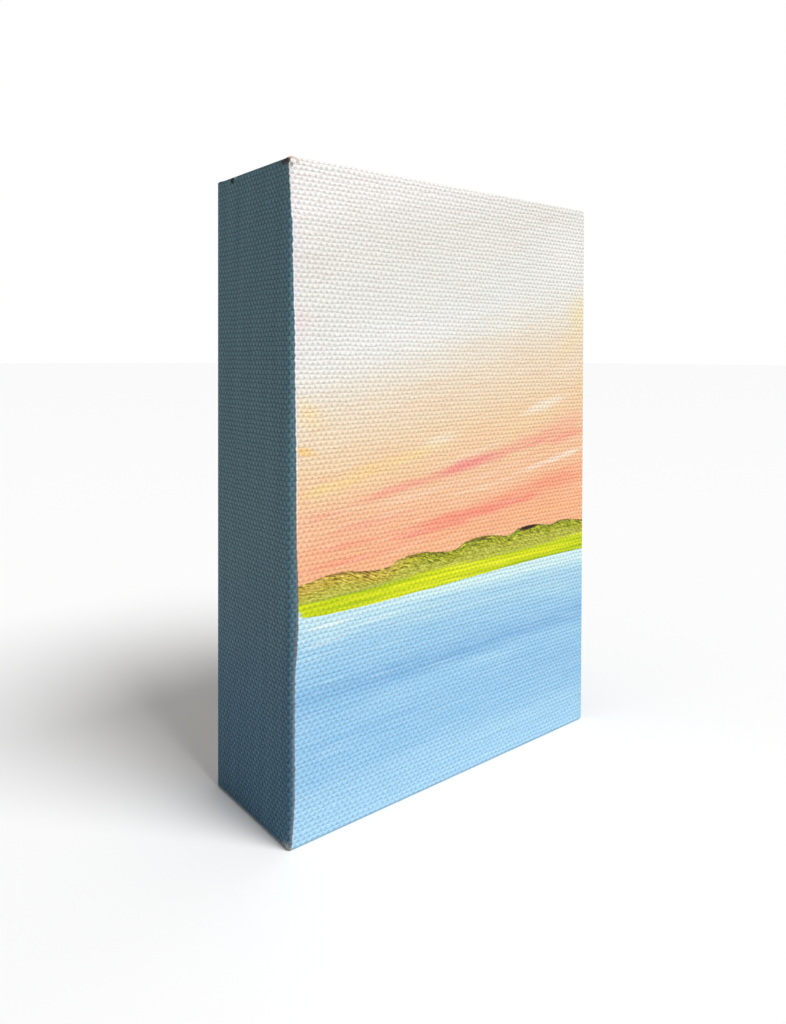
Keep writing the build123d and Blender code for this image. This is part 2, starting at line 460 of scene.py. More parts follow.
painting = {
    # each stroke: its middle, half its length and width, slope in degrees, softness, colour, strength
    "skyStops": [
        (58, (249, 184, 138)), (64, (248, 181, 138)), (70, (247, 188, 148)),
        (76, (245, 196, 156)), (81, (243, 203, 160)), (86, (242, 206, 166)),
        (91, (240, 212, 175)), (97, (238, 217, 188)), (104, (237, 222, 199)),
        (111, (235, 230, 218)), (118, (233, 234, 230)), (130, (232, 233, 228)),
        (142, (231, 230, 224)), (148, (234, 233, 229)), (152, (240, 239, 236)),
    ],
    "skyStrokes": [
        ((30, 113), (40, 7.5), 12, 1.2, (238, 239, 237), 0.75),
        ((25, 143), (22, 6), 4, 1.3, (231, 229, 223), 0.5),
        ((58, 138), (26, 8), 8, 1.3, (234, 230, 222), 0.5),
        ((92, 138), (17, 14), 30, 1.2, (241, 241, 237), 0.75),
        ((74, 122), (20, 6), 22, 1.2, (238, 236, 226), 0.5),
        ((99, 122), (10, 7), 46, 1.1, (242, 226, 176), 0.7),
        ((95, 113), (12, 4), 32, 1.0, (243, 220, 178), 0.6),
        ((93, 105), (16, 4), 22, 1.1, (240, 222, 196), 0.6),
        ((5, 96), (8, 4.5), -42, 1.1, (246, 220, 164), 0.65),
        ((4, 87.6), (4.5, 1.5), -10, 0.8, (246, 196, 100), 0.7),
        ((14, 92), (16, 4), 16, 1.2, (241, 221, 190), 0.5),
        ((44, 98), (30, 3), 12, 1.2, (243, 214, 184), 0.5),
        ((76, 90.5), (26, 2.2), 13, 1.0, (244, 214, 168), 0.6),
        ((94, 91), (12, 3), 12, 1.1, (245, 186, 160), 0.6),
        ((84, 86.6), (30, 3.2), 11, 1.1, (247, 176, 148), 0.8),
        ((94, 86), (14, 2.4), 11, 0.9, (247, 156, 134), 0.7),
        ((60, 88), (20, 1.6), 12, 1.0, (247, 204, 172), 0.5),
        ((85, 95.6), (11, 2.4), 15, 0.9, (247, 234, 214), 0.8),
        ((79, 94), (7, 1.0), 14, 0.7, (246, 230, 206), 0.7),
        ((44, 87.2), (10, 2.0), 12, 0.9, (242, 228, 204), 0.8),
        ((38, 85.0), (15, 1.8), 11, 0.9, (244, 216, 160), 0.65),
        ((22, 81.6), (25, 2.8), 12, 1.0, (245, 209, 146), 0.75),
        ((10, 79), (14, 1.8), 11, 1.0, (246, 212, 148), 0.7),
        ((58, 84), (18, 1.4), 12, 0.9, (246, 216, 186), 0.6),
        ((55, 80.6), (26, 2.6), 10, 0.9, (243, 158, 142), 0.85),
        ((54, 81.0), (18, 1.5), 10, 0.9, (240, 142, 136), 0.65),
        ((30, 76.6), (20, 1.7), 9, 0.9, (246, 160, 138), 0.75),
        ((8, 72.6), (12, 1.4), 6, 1.0, (246, 168, 140), 0.6),
        ((80, 84.6), (14, 1.0), 12, 0.8, (244, 158, 140), 0.6),
        ((38, 74.6), (20, 0.8), 7, 0.8, (249, 208, 178), 0.7),
        ((66, 78.2), (22, 1.2), 9, 0.9, (249, 204, 170), 0.6),
        ((84, 78.8), (24, 1.2), 11, 0.9, (251, 222, 196), 0.7),
        ((93, 80.2), (12, 0.7), 12, 0.8, (252, 234, 214), 0.65),
        ((60, 74.4), (20, 0.9), 8, 0.8, (250, 212, 178), 0.6),
        ((90, 73.6), (22, 4.0), 7, 1.0, (249, 158, 122), 0.9),
        ((72, 71.2), (22, 1.8), 6, 0.9, (249, 162, 128), 0.7),
        ((22, 69.6), (20, 1.8), 5, 1.0, (247, 170, 142), 0.7),
        ((54, 67.8), (40, 2.3), 4, 0.9, (248, 152, 126), 0.85),
        ((64, 68.6), (26, 1.8), 4, 0.9, (247, 140, 120), 0.65),
        ((42, 65.2), (20, 1.2), 3, 0.8, (247, 142, 120), 0.7),
        ((16, 65.4), (18, 1.6), 3, 1.0, (248, 160, 126), 0.7),
        ((14, 61.6), (20, 1.4), 2, 0.9, (248, 158, 130), 0.6),
        ((86, 65.2), (24, 2.6), 4, 1.1, (250, 186, 134), 0.75),
        ((34, 62.8), (16, 1.0), 3, 0.8, (249, 174, 140), 0.6),
        ((3.5, 71), (3.5, 13), 0, 1.1, (247, 192, 156), 0.6),
        ((1.4, 122), (2.6, 40), 0, 1.0, (232, 226, 231), 0.7),
        ((2.5, 117), (4.5, 5), 0, 1.1, (240, 220, 222), 0.5),
    ],
    "hillTop": [(0, 57.7), (6, 58.6), (13, 59.3), (20, 58.5), (26, 58.0), (31, 59.4), (37, 60.0),
                (44, 59.3), (48.5, 58.9), (53, 60.4), (59, 61.0), (65, 60.6), (69, 59.9),
                (73.5, 61.2), (79, 61.6), (84, 61.0), (87, 60.7), (91, 61.4), (96, 61.0),
                (101.6, 60.1)],
    "hillStrokes": [
        ((58.5, 60.5), (5.2, 0.55), 4, 0.6, (98, 78, 30), 0.9),
        ((61, 60.0), (3, 0.3), -6, 0.6, (70, 52, 26), 0.75),
        ((77, 61.1), (5.6, 0.9), 3, 0.5, (92, 54, 26), 1.0),
        ((77.6, 61.0), (3.8, 0.5), 2, 0.5, (44, 22, 16), 1.0),
        ((72, 60.3), (3.6, 0.9), 24, 0.8, (132, 158, 52), 0.8),
        ((56, 59.6), (4, 0.9), 22, 0.8, (142, 152, 44), 0.7),
        ((13, 58.9), (5, 0.45), -4, 0.6, (150, 112, 50), 0.7),
        ((20, 58.0), (3.5, 0.4), -18, 0.6, (134, 104, 46), 0.6),
        ((36, 59.6), (5, 0.45), -3, 0.6, (128, 110, 40), 0.75),
        ((43, 58.9), (4, 0.4), -9, 0.6, (120, 106, 40), 0.65),
        ((66, 59.9), (3, 0.5), -14, 0.7, (150, 138, 40), 0.6),
        ((85, 60.6), (5, 0.5), -10, 0.7, (132, 140, 44), 0.6),
        ((92, 60.9), (5, 0.5), -6, 0.7, (128, 134, 48), 0.6),
        ((90, 57.9), (6, 0.3), 2, 0.6, (206, 206, 120), 0.5),
        ((6, 57.2), (6, 1.2), 14, 0.9, (212, 184, 92), 0.6),
        ((30, 58.2), (5, 0.9), 20, 0.9, (216, 190, 96), 0.6),
    ],
    "grassFoot": [(0, 51.8), (3, 51.2), (8, 50.5), (20, 50.2), (38, 50.4), (60, 51.0), (80, 51.5),
                  (101.6, 51.7)],
    "grassStrokes": [
        ((20, 54.3), (26, 0.5), 1, 0.8, (164, 170, 84), 0.9),
        ((72, 55.4), (32, 0.5), 1.5, 0.8, (182, 182, 84), 0.8),
        ((36, 53.0), (30, 0.6), 1, 0.8, (236, 240, 20), 0.9),
        ((84, 53.6), (20, 0.7), 1, 0.8, (224, 228, 0), 0.9),
        ((18, 51.3), (16, 0.5), 0, 0.8, (160, 190, 0), 0.8),
        ((60, 52.0), (26, 0.5), 1, 0.8, (188, 202, 0), 0.8),
    ],
    "waterStops": [
        (0, (168, 212, 240)), (5, (165, 211, 240)), (10, (163, 209, 239)),
        (14, (151, 201, 235)), (22, (150, 200, 235)), (28, (154, 204, 237)),
        (31, (139, 190, 229)), (33, (138, 189, 228)), (36.5, (150, 200, 234)),
        (41, (160, 207, 236)), (45.5, (171, 214, 237)), (49, (190, 228, 240)),
    ],
    "waterStrokes": [
        ((50, 32.0), (48, 0.9), 0.5, 0.9, (128, 180, 223), 0.8),
        ((36, 33.4), (26, 0.7), -1, 0.9, (130, 183, 225), 0.6),
        ((14, 28.4), (18, 2.2), 2, 1.1, (144, 195, 232), 0.7),
        ((58, 28.2), (20, 2.2), 0, 1.1, (162, 210, 239), 0.75),
        ((24, 21.5), (30, 0.7), 2, 0.9, (136, 188, 228), 0.6),
        ((84, 22), (24, 4.2), 1, 1.2, (146, 196, 232), 0.75),
        ((78, 25.4), (20, 0.8), 1, 0.9, (140, 190, 229), 0.5),
        ((50, 16.8), (30, 0.8), 1, 0.9, (146, 198, 234), 0.6),
        ((88, 12.6), (18, 1.1), -2, 1.0, (146, 196, 232), 0.6),
        ((16, 10.5), (18, 2.4), 4, 1.1, (156, 204, 236), 0.6),
        ((70, 8.5), (30, 2.0), 2, 1.1, (172, 216, 241), 0.65),
        ((88, 42), (22, 3.6), -4, 1.1, (176, 219, 236), 0.75),
        ((12, 45), (14, 1.8), 1, 1.0, (186, 224, 241), 0.7),
        ((40, 38.4), (28, 1.2), 1, 0.9, (148, 199, 234), 0.6),
        ((20, 41.5), (18, 0.7), -1, 0.9, (152, 203, 236), 0.5),
        ((44, 5), (24, 1.0), 1, 0.9, (160, 207, 238), 0.5),
        ((96, 33), (9, 1.4), -6, 1.0, (158, 205, 236), 0.6),
        ((10, 48), (9, 0.9), 1, 0.8, (226, 242, 246), 0.85),
        ((24, 46.4), (12, 0.6), 2, 0.8, (212, 238, 246), 0.7),
        ((9, 44.2), (8, 0.6), 1, 0.8, (206, 234, 244), 0.7),
        ((48, 43.6), (24, 0.5), 1, 0.8, (186, 222, 242), 0.6),
    ],
    "slateStrip": [(0, 0.6), (4, 1.0), (12, 1.5), (28, 1.5), (38, 1.6), (44, 2.1), (52, 2.4),
                   (70, 1.9), (85, 1.8), (100, 1.5), (112, 1.4), (125, 1.0), (135, 0.8), (144, 0.3),
                   (152, -0.2)],
}


def paintStrokes(tree, place, under, strokes, marks, ragged=0.75):
    # each stroke takes its broken rim from the marks whose slope is nearest to its own
    for centre, halfSize, slope, softness, tone, strength in strokes:
        nearest = min(marks, key=lambda one: abs(one - slope))
        broken = times(tree, marks[nearest], ragged)
        mask = useGroup(tree, brushStroke, Place=place, Centre=(*centre, 0), HalfSize=(*halfSize, 1),
                        Slope=math.radians(slope), Softness=0.95 * softness, Broken=broken)[0]
        under = blendColours(tree, times(tree, mask, strength), under, tone)
    return under


def bristlesAt(tree, place, slope, coarseness=1.0):
    return useGroup(tree, bristleMarks, Place=place, Slope=slope, Coarseness=coarseness)


def addStreaks(tree, under, bristles, light, shade):
    # single bristles leave the colour thinner, towards light, or thicker, times shade
    thin = times(tree, ease(tree, bristles, 0.52, 0.72), 0.3)
    under = blendColours(tree, thin, under, light)
    thick = times(tree, ease(tree, bristles, 0.48, 0.3), 0.4)
    return blendColours(tree, thick, under, shade, "MULTIPLY")


def paintPicture(tree, place):
    # The face's colour, from sky to hills, grass, shore and water. Each zone lies over the one before.
    across, up = parts(tree, place)[:2]
    slope = timesPlus(tree, minus(tree, up, 60.0), 0.0045, 0.04)
    slope = maths(tree, "MINIMUM", maths(tree, "MAXIMUM", slope, 0.04), 0.26)
    fromMiddle = minus(tree, 50.0, across)
    skyHeight = timesPlus(tree, slope, fromMiddle, up)
    marks = {slope: bristlesAt(tree, place, math.radians(slope))["Broken"] for slope in (2, 11, 40)}
    bristles = bristlesAt(tree, place, math.radians(9))
    drift = minus(tree, bristles["Drift"], 0.5)
    skyHeight = timesPlus(tree, drift, 14.0, skyHeight)
    picture = ramp(tree, skyHeight, painting["skyStops"], 58, 152)
    picture = paintStrokes(tree, place, picture, painting["skyStrokes"], marks)
    picture = addStreaks(tree, picture, bristles["Height"], (253, 240, 224), (246, 214, 206))

    # hills: golden at the left and olive at the right, in fine strokes that lean with each slope
    hillTop = curve(tree, across, painting["hillTop"], 0, 101.6, 55, 63)
    rag = minus(tree, noise(tree, place, (1.1, 1.1, 1), detail=3.0), 0.5)
    below = minus(tree, timesPlus(tree, rag, 0.5, hillTop), up)
    lean = timesPlus(tree, below, 2.2, times(tree, across, -0.7))
    blades = joined(tree, lean, times(tree, across, 0.45))
    leaf = noise(tree, blades, (1.1, 1, 1), detail=5.0, rough=0.7)
    left = ramp(tree, leaf, [(0.38, (104, 80, 20)), (0.46, (172, 146, 38)),
                             (0.54, (214, 188, 64)), (0.62, (244, 226, 122))])
    right = ramp(tree, leaf, [(0.38, (70, 78, 6)), (0.46, (136, 144, 16)),
                              (0.54, (180, 184, 32)), (0.62, (220, 214, 84))])
    hills = blendColours(tree, ease(tree, across, 20.0, 44.0), left, right)
    crest = times(tree, ease(tree, below, 0.7, 0.1), ease(tree, leaf, 0.62, 0.42))
    hills = blendColours(tree, times(tree, crest, 0.75), hills, (80, 66, 20))
    hills = paintStrokes(tree, place, hills, painting["hillStrokes"], marks, 0.3)
    sage = blendColours(tree, ease(tree, leaf, 0.38, 0.62), (164, 166, 40), (208, 208, 92))
    hills = blendColours(tree, times(tree, ease(tree, below, 1.4, 3.8), 0.8), hills, sage)
    picture = blendColours(tree, ease(tree, below, -0.12, 0.12), picture, hills)

    # grass: a flat bright band whose two edges rise a little to the right
    edgeNoise = minus(tree, noise(tree, place, (0.35, 1.2, 1), (5, 1, 0), detail=3.0), 0.5)
    grassTop = timesPlus(tree, across, 0.024, 54.0)
    grassTop = timesPlus(tree, edgeNoise, 0.9, grassTop)
    grassFoot = curve(tree, across, painting["grassFoot"], 0, 101.6, 49, 53)
    grassFoot = timesPlus(tree, edgeNoise, 0.5, grassFoot)
    grassTone = bristlesAt(tree, place, 0.01, 1.2)["Drift"]
    grass = ramp(tree, grassTone, [(0.36, (160, 184, 0)), (0.44, (194, 212, 0)),
                                   (0.54, (208, 220, 0)), (0.64, (232, 238, 40))])
    grass = paintStrokes(tree, place, grass, painting["grassStrokes"], marks)
    inGrass = ease(tree, minus(tree, grassTop, up), -0.35, 0.35)
    picture = blendColours(tree, inGrass, picture, grass)

    # water, and the pale shore over its upper edge
    bristles = bristlesAt(tree, place, 0.008, 0.9)
    ripple = bristles["Drift"]
    waterHeight = timesPlus(tree, minus(tree, ripple, 0.5), 15.0, up)
    water = ramp(tree, waterHeight, painting["waterStops"], 0, 49)
    water = paintStrokes(tree, place, water, painting["waterStrokes"], marks)
    water = addStreaks(tree, water, bristles["Height"], (214, 238, 250), (206, 226, 240))
    shoreEdge = timesPlus(tree, ripple, 2.2, 47.2)
    shore = blendColours(tree, ease(tree, across, 10.0, 55.0),
                         (196, 230, 242), (208, 238, 242))
    water = blendColours(tree, ease(tree, minus(tree, up, shoreEdge), -0.5, 0.7), water, shore)
    inWater = minus(tree, grassFoot, up)
    leftEnd = times(tree, ease(tree, across, 3.4, 2.4), ease(tree, up, 52.6, 52.0))
    inWater = maths(tree, "MAXIMUM", ease(tree, inWater, -0.1, 0.15), leftEnd)
    picture = blendColours(tree, inWater, picture, water)
    return picture


paintedClothOptions = {
    "slate": [(0.3, (76, 108, 119)), (0.5, (82, 115, 125)), (0.7, (90, 122, 131))],
    # painted shade, multiplied into the slate towards the foot
    "slateNearFoot": (196, 226, 255),
    "slateNearRim": (150, 136, 124),
    # painted highlight along the paint ridge beside the slate
    "ridgeTone": (244, 245, 250),
    "ground": ((226, 224, 216), (240, 239, 234)),
    # painted shade in the weave's valleys, where the paint also lies thicker: tints for the picture,
    # the slate and the ground
    "pictureValley": (219, 209, 206),
    "slateValley": (156, 163, 175),
    "groundValley": (190, 186, 174),
    "slateStart": 0.6,            # mm past the face, on the right, the top and the foot
    "slateOnHem": 2.2,            # mm past the back edge, less what the brush left out
    "slateOnLapEnd": 0.4,         # mm in from the end of a lapped hem
    "worn": [
        # marks on the corners, in the same form as the painting's strokes
        # paint rubbed off at the top front corner
        ((-1.7, 151.7), (1.9, 1.3), 20, 0.5, (52, 54, 54), 0.95),
        ((-0.3, 151.4), (0.9, 0.8), 0, 0.5, (66, 46, 42), 0.9),
        ((0.5, 152.2), (1.3, 0.55), 0, 0.5, (214, 178, 156), 0.9),
        ((1.9, 151.2), (0.8, 0.5), 30, 0.5, (176, 150, 140), 0.6),
        ((0.6, 150.4), (0.4, 0.8), 0, 0.5, (96, 84, 84), 0.7),
        # a painted shadow and a painted highlight that draw a small notch in the top of the left edge
        ((-26.0, 151.2), (1.2, 1.1), 0, 0.4, (20, 36, 38), 1.0),
        ((-24.4, 151.8), (0.9, 0.6), 0, 0.4, (150, 184, 188), 0.8),
        # paler grey-green patches at the bottom front corner
        ((-1.0, 0.2), (2.2, 3.2), 15, 0.9, (140, 158, 158), 0.6),
        ((-0.6, 1.0), (0.9, 1.6), 0, 0.5, (176, 178, 166), 0.5),
        ((0.4, 0.2), (0.8, 1.0), 0, 0.6, (196, 196, 186), 0.6),
    ],
}


def makePaintedCloth():
    # The painting on the face, slate on the edges, and white ground on the hems, all by the place on
    # the flat sheet. The weave stands through all of them.
    o = paintedClothOptions
    material, tree, shader = newMaterial("paintedCloth", roughness=0.5, specular=0.25)
    sheet = put(tree, "UVMap", uv_map="sheetPlace").outputs[0]
    place = vectors(tree, "MULTIPLY_ADD", sheet, (1000, 1000, 0), (faceWidth / mm / 2, 0, 0))
    across, up = parts(tree, place)[:2]
    width, height = faceWidth / mm, faceHeight / mm

    # slate runs from the edges a little way onto the left of the face
    jag = minus(tree, noise(tree, place, (0.5, 0.8, 1), (2, 6, 0), detail=4.0, rough=0.7), 0.5)
    strip = curve(tree, up, painting["slateStrip"], 0, 152, -1, 3)
    strip = timesPlus(tree, jag, 0.9, strip)
    overLeft = minus(tree, strip, across)
    overRight = minus(tree, across, width + o["slateStart"])
    overTop = minus(tree, up, height + o["slateStart"])
    overFoot = minus(tree, -o["slateStart"], up)
    overRest = maths(tree, "MAXIMUM", maths(tree, "MAXIMUM", overRight, overTop), overFoot)
    overRest = timesPlus(tree, jag, 0.7, overRest)
    overEdge = maths(tree, "MAXIMUM", overLeft, overRest)
    slateMask = ease(tree, overEdge, -0.12, 0.12)

    fill = timesPlus(tree, slateMask, -0.45, 1.0)
    weave = useGroup(tree, plainWeave, Place=place, WarpPitch=cloth["warpPitch"],
                     WeftPitch=cloth["weftPitch"], WarpShare=0.3, Swing=0.17, Wander=0.9, Fill=fill)
    marks = bristlesAt(tree, place, math.radians(4))

    picture = paintPicture(tree, place)
    # painted shade in the weave's valleys, where the paint also lies thicker
    valleyShadeTint = blendColours(tree, 1.0, picture, o["pictureValley"], "MULTIPLY")
    picture = blendColours(tree, weave["Valley"], picture, valleyShadeTint)

    slateDrift = bristlesAt(tree, place, math.radians(88), 0.8)["Drift"]
    slate = ramp(tree, slateDrift, o["slate"])
    # painted shade: the slate darker and bluer towards the foot
    shadedLowSlate = blendColours(tree, 1.0, slate, o["slateNearFoot"], "MULTIPLY")
    slate = blendColours(tree, ease(tree, up, 75.0, 10.0), slate, shadedLowSlate)
    # painted shade in the slate's weave valleys, where the paint also lies thicker
    slateValley = blendColours(tree, 1.0, slate, o["slateValley"], "MULTIPLY")
    slate = blendColours(tree, weave["Valley"], slate, slateValley)
    nearRim = times(tree, ease(tree, overEdge, 1.0, 0.1), ease(tree, up, 90.0, 30.0))
    slate = blendColours(tree, times(tree, nearRim, 0.5), slate, o["slateNearRim"])
    painted = blendColours(tree, slateMask, picture, slate)

    # a raised ridge of paint beside the slate in the sky, with a painted highlight along it
    ridgeAndHighlight = times(tree, ease(tree, overLeft, -0.5, -0.25), ease(tree, overLeft, 0.05, -0.15))
    ridgeAndHighlight = times(tree, ridgeAndHighlight, ease(tree, up, 60.0, 95.0))
    painted = blendColours(tree, times(tree, ridgeAndHighlight, 0.8), painted, o["ridgeTone"])

    # corner marks: rubbed paint, and the painted shadow and highlight of a notch
    for centre, halfSize, slope, softness, tone, strength in o["worn"]:
        mask = useGroup(tree, brushStroke, Place=place, Centre=(*centre, 0), HalfSize=(*halfSize, 1),
                        Slope=math.radians(slope), Softness=softness,
                        Broken=times(tree, jag, 1.6))[0]
        painted = blendColours(tree, times(tree, mask, strength), painted, tone)

    # the slate stops raggedly on the hems, and the ground is white beyond it
    pastSide = maths(tree, "MAXIMUM", minus(tree, 0.0, across), minus(tree, across, width))
    pastEnd = maths(tree, "MAXIMUM", minus(tree, 0.0, up), minus(tree, up, height))
    isEnd = maths(tree, "GREATER_THAN", pastEnd, pastSide)
    stretch = joined(tree, timesPlus(tree, isEnd, -0.36, 0.42), timesPlus(tree, isEnd, 0.36, 0.06))
    stretched = vectors(tree, "MULTIPLY", place, stretch)
    brushed = noise(tree, stretched, shift=(8, 3, 0), detail=4.0, rough=0.6)
    rimLine = (woodDepth - faceDepth) / mm
    onHem = timesPlus(tree, brushed, -7.0, maths(tree, "MAXIMUM", pastSide, pastEnd))
    onHem = minus(tree, onHem, rimLine - o["slateOnHem"])
    lapEnd = maths(tree, "MINIMUM", maths(tree, "ABSOLUTE", across),
                   maths(tree, "ABSOLUTE", minus(tree, across, width)))
    lapEnd = minus(tree, timesPlus(tree, brushed, -5.0, lapEnd), o["slateOnLapEnd"])
    onHem = maths(tree, "MINIMUM", onHem, lapEnd)
    ground = blendColours(tree, brushed, *o["ground"])
    # painted shade in the ground's weave valleys, where the primer also lies thicker
    ground = blendColours(tree, times(tree, weave["Valley"], 0.6), ground, o["groundValley"])
    hemMask = ease(tree, timesPlus(tree, weave["Height"], -0.5, onHem), -0.5, 0.3)
    painted = blendColours(tree, hemMask, painted, ground)
    feed(tree, shader.inputs["Base Color"], painted)

    gloss = timesPlus(tree, marks["Height"], 0.16, 0.46)
    gloss = timesPlus(tree, weave["Valley"], 0.18, gloss)
    feed(tree, shader.inputs["Roughness"], timesPlus(tree, hemMask, 0.25, gloss))
    relief = times(tree, weave["Height"], cloth["weaveRelief"])
    relief = timesPlus(tree, weave["Yarn Tone"], 0.05 * mm, relief)
    relief = timesPlus(tree, marks["Height"], 0.035 * mm, relief)
    relief = timesPlus(tree, slateMask, 0.05 * mm, relief)
    relief = timesPlus(tree, ridgeAndHighlight, 0.12 * mm, relief)
    bumpFrom(tree, shader, relief)
    return material


def makeRawCloth():
    # Bare cotton: creams that change by yarn, painted shade between the yarns, with pale specks of
    # ground that came through, brown specks of husk and a faint stain.
    material, tree, shader = newMaterial("rawCloth", roughness=0.92, specular=0.15)
    sheet = put(tree, "UVMap", uv_map="sheetPlace").outputs[0]
    place = vectors(tree, "MULTIPLY", sheet, (1000, 1000, 0))
    weave = useGroup(tree, plainWeave, Place=place, WarpPitch=cloth["warpPitch"],
                     WeftPitch=cloth["weftPitch"], WarpShare=0.9, Swing=0.06, Wander=0.4)
    tone = ramp(tree, weave["Yarn Tone"], [(0.3, (210, 197, 166)), (0.5, (214, 201, 171)),
                                           (0.7, (218, 205, 176))])
    fibres = noise(tree, place, (9, 3, 1), detail=3.0, rough=0.7)
    tone = blendColours(tree, times(tree, fibres, 0.35), tone, (236, 226, 204))
    specks = noise(tree, place, (2.2, 1.8, 1), (3, 3, 3), detail=2.0, rough=0.8)
    tone = blendColours(tree, ease(tree, specks, 0.68, 0.74), tone, (242, 240, 232))
    husks = noise(tree, place, (1.4, 2.6, 1), (31, 3, 3), detail=1.0)
    husks = times(tree, ease(tree, husks, 0.76, 0.8), 0.7)
    tone = blendColours(tree, husks, tone, (122, 92, 58))
    stain = noise(tree, place, (0.03, 0.03, 1), (5, 1, 1), detail=3.0)
    stain = times(tree, ease(tree, stain, 0.5, 0.7), 0.25)
    tone = blendColours(tree, stain, tone, (198, 178, 138))
    # painted shade in the gaps between the yarns
    tone = blendColours(tree, times(tree, weave["Valley"], 0.75), tone, (138, 118, 84))
    feed(tree, shader.inputs["Base Color"], tone)
    feed(tree, shader.inputs["Roughness"], timesPlus(tree, fibres, 0.12, 0.84))
    relief = times(tree, weave["Height"], 0.16 * mm)
    relief = timesPlus(tree, fibres, 0.04 * mm, relief)
    bumpFrom(tree, shader, relief)
    return material


def makeWood(name, turn, shift, tones, pith=(0, 9, 34), ring=2.4, wanderBy=1.6, gloss=0.62):
    # turn lays the wood's length along x, and shift moves the pattern so that no two pieces match
    material, tree, shader = newMaterial(name, roughness=gloss, specular=0.3)
    place = put(tree, "TexCoord").outputs["Object"]
    at = put(tree, "Mapping", vector_type="POINT")
    feed(tree, at.inputs["Vector"], place)
    at.inputs["Scale"].default_value = (1000, 1000, 1000)
    at.inputs["Rotation"].default_value = turn
    at.inputs["Location"].default_value = shift
    grain = useGroup(tree, woodGrain, Place=at.outputs[0], Pith=pith, RingSpacing=ring,
                     Wander=wanderBy)
    light, dark, late = tones
    tone = blendColours(tree, grain["Patch"], light, dark)
    fibres = ease(tree, grain["Fibre"], 0.35, 0.68)
    tone = blendColours(tree, times(tree, fibres, 0.3), tone, dark)
    tone = blendColours(tree, times(tree, grain["Ring"], 0.6), tone, late)
    pores = ease(tree, grain["Fibre"], 0.66, 0.74)
    tone = blendColours(tree, times(tree, pores, 0.45), tone, late)
    feed(tree, shader.inputs["Base Color"], tone)
    feed(tree, shader.inputs["Roughness"], timesPlus(tree, grain["Fibre"], 0.25, gloss - 0.1))
    saw = bristlesAt(tree, at.outputs[0], math.radians(90), 1.2)
    relief = times(tree, grain["Fibre"], 0.07 * mm)
    relief = timesPlus(tree, grain["Ring"], 0.03 * mm, relief)
    relief = timesPlus(tree, saw["Height"], 0.02 * mm, relief)
    bumpFrom(tree, shader, relief)
    return material


def makeStapleWire():
    # galvanised wire: zinc in soft patches of three greys, with fine marks from drawing
    material, tree, shader = newMaterial("stapleWire", roughness=0.35)
    shader.inputs["Metallic"].default_value = 1.0
    place = vectors(tree, "MULTIPLY", put(tree, "TexCoord").outputs["Object"], (1000, 1000, 1000))
    patches = noise(tree, place, (1.3, 1.3, 1.3), detail=3.0)
    tone = ramp(tree, patches, [(0.3, (140, 143, 146)), (0.55, (186, 189, 192)),
                                (0.75, (206, 206, 204))])
    feed(tree, shader.inputs["Base Color"], tone)
    drawn = noise(tree, place, (4, 4, 4), (5, 5, 5), detail=2.0)
    feed(tree, shader.inputs["Roughness"], timesPlus(tree, drawn, 0.3, 0.22))
    bumpFrom(tree, shader, times(tree, drawn, 0.02 * mm))
    return material


pineTones = ((232, 206, 160), (220, 186, 134), (178, 126, 72))
keyTones = ((226, 200, 160), (212, 182, 138), (192, 156, 110))
upright = (0, math.radians(90), 0)
paintedCloth = makePaintedCloth()
rawCloth = makeRawCloth()
woods = {
    "top": makeWood("pineTop", (0, 0, 0), (0, 3, -120), pineTones),
    "bottom": makeWood("pineBottom", (0, 0, 0), (300, -2, 20), pineTones, pith=(0, -20, 30), ring=3.1,
                       wanderBy=3.4),
    "left": makeWood("pineLeft", upright, (80, 4, 10), pineTones, pith=(0, 26, -22), ring=2.0),
    "right": makeWood("pineRight", upright, (610, -6, 0), pineTones, pith=(0, 14, 60), ring=2.7),
}
keyWoods = {
    "level": makeWood("keyWoodLevel", (0, 0, 0), (50, 0, 0), keyTones, pith=(0, 24, 8), ring=1.7,
                      gloss=0.68),
    "upright": makeWood("keyWoodUpright", upright, (90, 0, 0), keyTones, pith=(0, 24, 8), ring=1.7,
                        gloss=0.68),
}
stapleWire = makeStapleWire()
print("materials made")


profileSteps = {"front": 8, "edge": 76, "back": 6, "hem": 24}


def wrapProfile():
    # From the rim of the face to the free edge of the hem: a quarter circle, a straight run across
    # the edge, a quarter circle, and the hem. Gives how far each point lies inwards from the outer
    # face, its y, its normal (outwards, backwards), and its place along the cloth.
    frontRadius, backRadius = cloth["edgeRadius"], cloth["backRadius"]
    turn = np.linspace(0, math.pi / 2, profileSteps["front"] + 1)
    inward = [frontRadius * (1 - np.sin(turn))]
    depth = [faceDepth + frontRadius * (1 - np.cos(turn))]
    outNormal, backNormal = [np.sin(turn)], [-np.cos(turn)]
    run = np.linspace(faceDepth + frontRadius, hemDepth - backRadius, profileSteps["edge"] + 1)[1:]
    inward.append(0 * run)
    depth.append(run)
    outNormal.append(0 * run + 1)
    backNormal.append(0 * run)
    turn = np.linspace(0, math.pi / 2, profileSteps["back"] + 1)[1:]
    inward.append(backRadius * (1 - np.cos(turn)))
    depth.append(hemDepth - backRadius + backRadius * np.sin(turn))
    outNormal.append(np.cos(turn))
    backNormal.append(np.sin(turn))
    run = np.linspace(backRadius, hemWidth, profileSteps["hem"] + 1)[1:]
    inward.append(run)
    depth.append(0 * run + hemDepth)
    outNormal.append(0 * run)
    backNormal.append(0 * run + 1)
    lines = [np.concatenate(line) for line in (inward, depth, outNormal, backNormal)]
    steps = np.hypot(np.diff(lines[0]), np.diff(lines[1]))
    return *lines, np.concatenate([[0], np.cumsum(steps)])


def mirrored(middlePart, *ends, sign=-1):
    # the middle part, its ends after it, and the same ends turned round before it
    before = [sign * part[:, ::-1] for part in reversed(ends)]
    return np.concatenate([*before, middlePart, *ends], 1)


